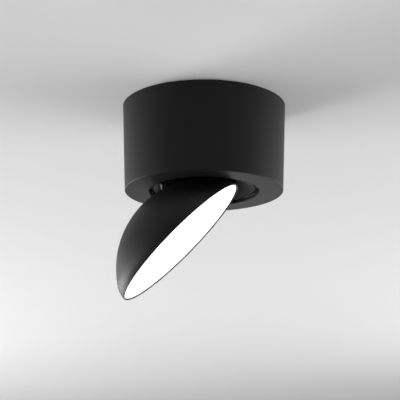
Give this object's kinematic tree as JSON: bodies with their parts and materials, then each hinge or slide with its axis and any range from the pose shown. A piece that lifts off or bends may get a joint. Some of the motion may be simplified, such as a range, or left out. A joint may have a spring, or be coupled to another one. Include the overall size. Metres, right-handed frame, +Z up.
{
  "type": "surface mounted ceiling spotlight",
  "caption": "Black cylindrical ceiling spotlight whose half-dome head tilts in a concave turning seat and glows from a flat opal face.",
  "frame": {"origin": "centre of the mounting face, on the ceiling, midway between the two screw slots", "axes": "+Z up, out of the mounting face into the ceiling; +X the way the light is tilted at rest"},
  "size_m": [0.1025, 0.1, 0.1197],
  "materials": {
    "black_paint": "fine matte powder coat",
    "zinc_steel": "zinc plated sheet",
    "spring_steel": "satin",
    "cast_zinc": "black, satin",
    "screw_steel": "zinc plated",
    "brass": "bright",
    "rubber": "matte",
    "thermal_pad": "soft, matte",
    "white_nylon": "matte",
    "black_nylon": "satin",
    "felt": "pressed felt",
    "driver_plastic": "fine grained",
    "circuit_board": "solder mask",
    "components": "moulded",
    "opal": "opal, lit from behind",
    "white_reflector": "diffuse white",
    "white_board": "white solder mask",
    "led_phosphor": "silicone",
    "aluminium": "die cast, bare"
  },
  "bodies": {
    "housing_group": {"housing": "black_paint", "ceiling_bracket": "zinc_steel", "cable_grommet": "rubber", "earth_screw": "brass", "gear_tray": "zinc_steel", "tray_screws": "screw_steel", "driver_case": "driver_plastic", "driver_cover": "driver_plastic", "driver_board": "circuit_board", "driver_components": "components", "driver_screws": "screw_steel", "terminal_block": "white_nylon", "terminal_screws": "brass", "glide_ring": "white_nylon", "damping_ring": "felt", "retaining_ring": "zinc_steel", "retaining_screws": "screw_steel"},
    "turntable": {"turntable_seat": "black_paint", "pan_stop_pin": "screw_steel"},
    "head": {"dome_shell": "black_paint", "diffuser": "opal", "light_chamber": "white_reflector", "led_board": "white_board", "led_chips": "led_phosphor", "thermal_pad": "thermal_pad", "heat_sink": "aluminium", "heat_sink_screws": "screw_steel", "swivel_arm": "cast_zinc", "arm_screws": "screw_steel", "glide_shoe": "black_nylon", "clamp_screws": "screw_steel", "slide_saddle": "black_nylon", "leaf_spring": "spring_steel", "clamp_plate": "zinc_steel"}
  },
  "joints": [
    {"name": "pan", "type": "hinge", "parent": "housing_group", "child": "turntable", "pos_m": [0, 0, -0.05], "axis": [0, 0, 1], "range_deg": [-175, 175]},
    {"name": "tilt", "type": "hinge", "parent": "turntable", "child": "head", "pos_m": [0, 0, -0.0991], "axis": [0, -1, 0], "range_deg": [-45, 0]}
  ]
}
